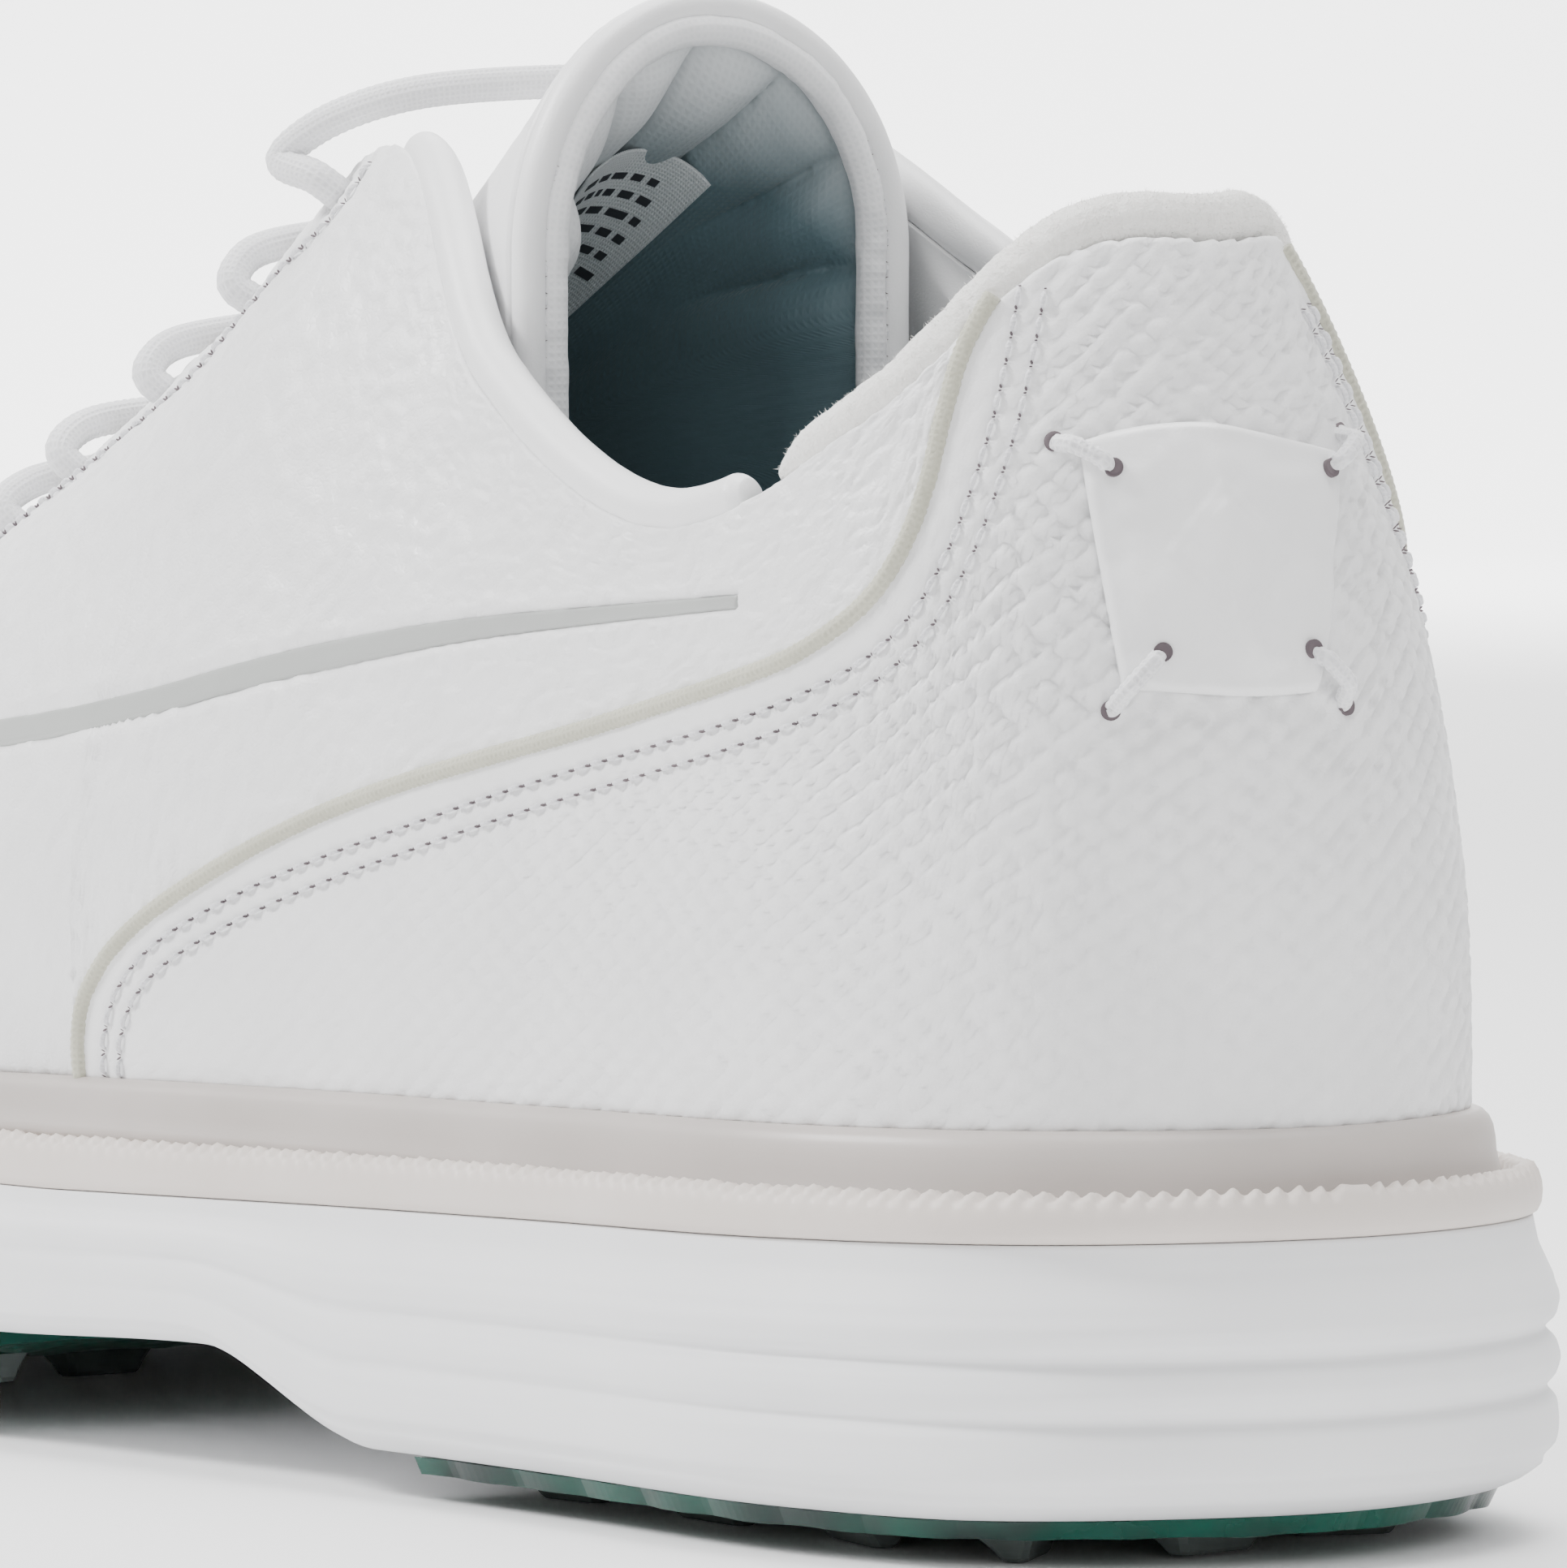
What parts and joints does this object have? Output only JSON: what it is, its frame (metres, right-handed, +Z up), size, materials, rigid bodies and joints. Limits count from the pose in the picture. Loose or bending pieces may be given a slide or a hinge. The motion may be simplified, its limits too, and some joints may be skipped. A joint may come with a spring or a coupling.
{
  "type": "golf shoe",
  "caption": "Low-cut leather golf shoe, left foot, with padded collar and tongue, round laces, corded heel overlay, welted foam midsole and lugged outsole plates.",
  "frame": {"origin": "middle of the footprint on the ground", "axes": "+X towards the heel, +Y towards the inner side of the foot, +Z up"},
  "size_m": [0.3027, 0.1066, 0.132],
  "materials": {
    "foam_white": "moulded foam, satin",
    "rand_taupe": "satin rubber band",
    "welt_cream": "matt, rope textured ledge",
    "plate_green": "dark translucent",
    "lug_grey": "dark, tinted",
    "board": "fibre board",
    "steel": "spring steel",
    "sock": "woven top cloth on foam",
    "leather_white": "tumbled, fine wrinkled grain",
    "leather_scale": "embossed with small diamond scales",
    "leather_soft": "soft nappa, slightly glossy",
    "lining_dark": "brushed knit",
    "lining_light": "thin cloth",
    "stiffener": "pressed fibre",
    "padding": "open-cell foam",
    "trim_cream": "brushed",
    "cord_cream": "twisted",
    "stripe_grey": "smooth",
    "lace_white": "round braid",
    "label_grey": "woven tape"
  },
  "bodies": {
    "shoe": {"midsole": "foam_white", "rand": "rand_taupe", "welt": "welt_cream", "outsole_forefoot": "plate_green", "outsole_heel": "plate_green", "lugs_forefoot": "lug_grey", "lugs_heel": "lug_grey", "lasting_board": "board", "shank": "steel", "insole": "sock", "vamp": "leather_white", "vamp_lining": "lining_light", "toe_puff": "stiffener", "quarter_lateral": "leather_white", "quarter_medial": "leather_white", "eyestay_lateral": "stiffener", "eyestay_medial": "stiffener", "heel_cover": "leather_scale", "heel_counter": "stiffener", "heel_patch": "leather_soft", "patch_ties": "lace_white", "piping_lateral": "cord_cream", "piping_medial": "cord_cream", "side_stripe_lateral": "stripe_grey", "side_stripe_medial": "stripe_grey", "collar_foam": "padding", "collar_lining": "lining_dark", "collar_trim": "trim_cream", "topline_binding_lateral": "leather_soft", "topline_binding_medial": "leather_soft", "shoelace": "lace_white"},
    "tongue": {"tongue_outer": "leather_soft", "tongue_foam": "padding", "tongue_lining": "lining_dark", "tongue_binding": "leather_soft", "tongue_label": "label_grey"}
  },
  "joints": [
    {"name": "tongue_hinge", "type": "hinge", "parent": "shoe", "child": "tongue", "pos_m": [-0.0702, 0.0021, 0.06], "axis": [0, 1, 0], "range_deg": [0, 3]}
  ]
}
